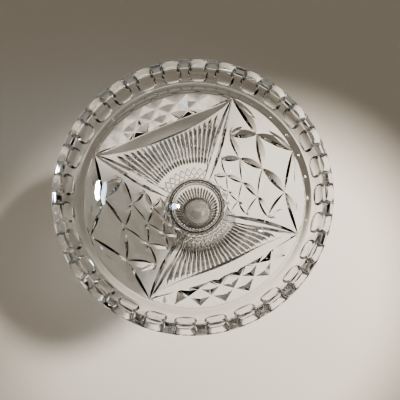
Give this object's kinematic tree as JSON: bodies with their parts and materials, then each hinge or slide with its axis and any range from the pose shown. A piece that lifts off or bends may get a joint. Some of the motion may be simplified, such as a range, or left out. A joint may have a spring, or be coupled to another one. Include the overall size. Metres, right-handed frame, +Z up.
{
  "type": "punch bowl",
  "caption": "Round cut-crystal punch bowl with a flared, thumb-printed rim, resting by a round base pad in the collar of a separate hollow fluted stand.",
  "frame": {"origin": "centre of the stand's foot, on the surface the bowl stands on", "axes": "+Z up along the turning axis of bowl and stand; the diamond-net panels face +X and -X, the fan panels +Y and -Y"},
  "size_m": [0.3, 0.3, 0.342],
  "materials": {
    "bowl_crystal": "clear cut crystal, fire polished",
    "stand_crystal": "clear pressed crystal, fire polished"
  },
  "bodies": {
    "stand": {"pedestal_stand": "stand_crystal"},
    "basin": {"bowl": "bowl_crystal"}
  },
  "joints": [
    {"name": "bowl_lift", "type": "slide", "parent": "stand", "child": "basin", "axis": [0, 0, 1], "range_m": [0, 0.06]}
  ]
}
